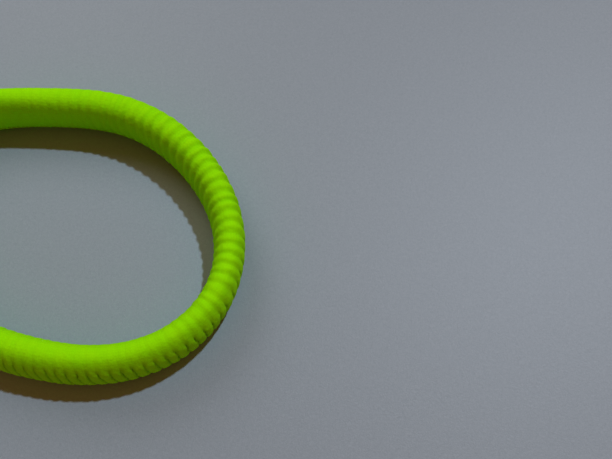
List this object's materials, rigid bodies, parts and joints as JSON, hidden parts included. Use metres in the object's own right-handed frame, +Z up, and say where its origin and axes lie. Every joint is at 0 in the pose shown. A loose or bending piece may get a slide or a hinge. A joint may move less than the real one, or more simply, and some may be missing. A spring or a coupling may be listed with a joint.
{
  "type": "sweat wristband",
  "caption": "Thick ribbed elastic wrist loop, a soft two-ply knitted tube bent into an oval ring that lies on its edge.",
  "frame": {"origin": "middle of the underside of the loop's box, on the surface that it lies on", "axes": "X along the loop's longer side, Y across it, Z up out of the surface"},
  "size_m": [0.0706, 0.055, 0.0111],
  "materials": {
    "ribbed_knit": "matte neon yellow-green rib knit, softly fuzzy",
    "lining_knit": "matte neon yellow-green plain knit",
    "elastic": "yarn-covered natural rubber thread",
    "stitching": "matte neon yellow-green linking thread"
  },
  "bodies": {
    "root": {"outer_ply": "ribbed_knit", "inner_ply": "lining_knit", "elastic_thread_01": "elastic", "elastic_thread_02": "elastic", "elastic_thread_03": "elastic", "elastic_thread_04": "elastic", "elastic_thread_05": "elastic", "elastic_thread_06": "elastic", "elastic_thread_07": "elastic", "elastic_thread_08": "elastic", "linking_seam": "stitching"}
  },
  "joints": []
}
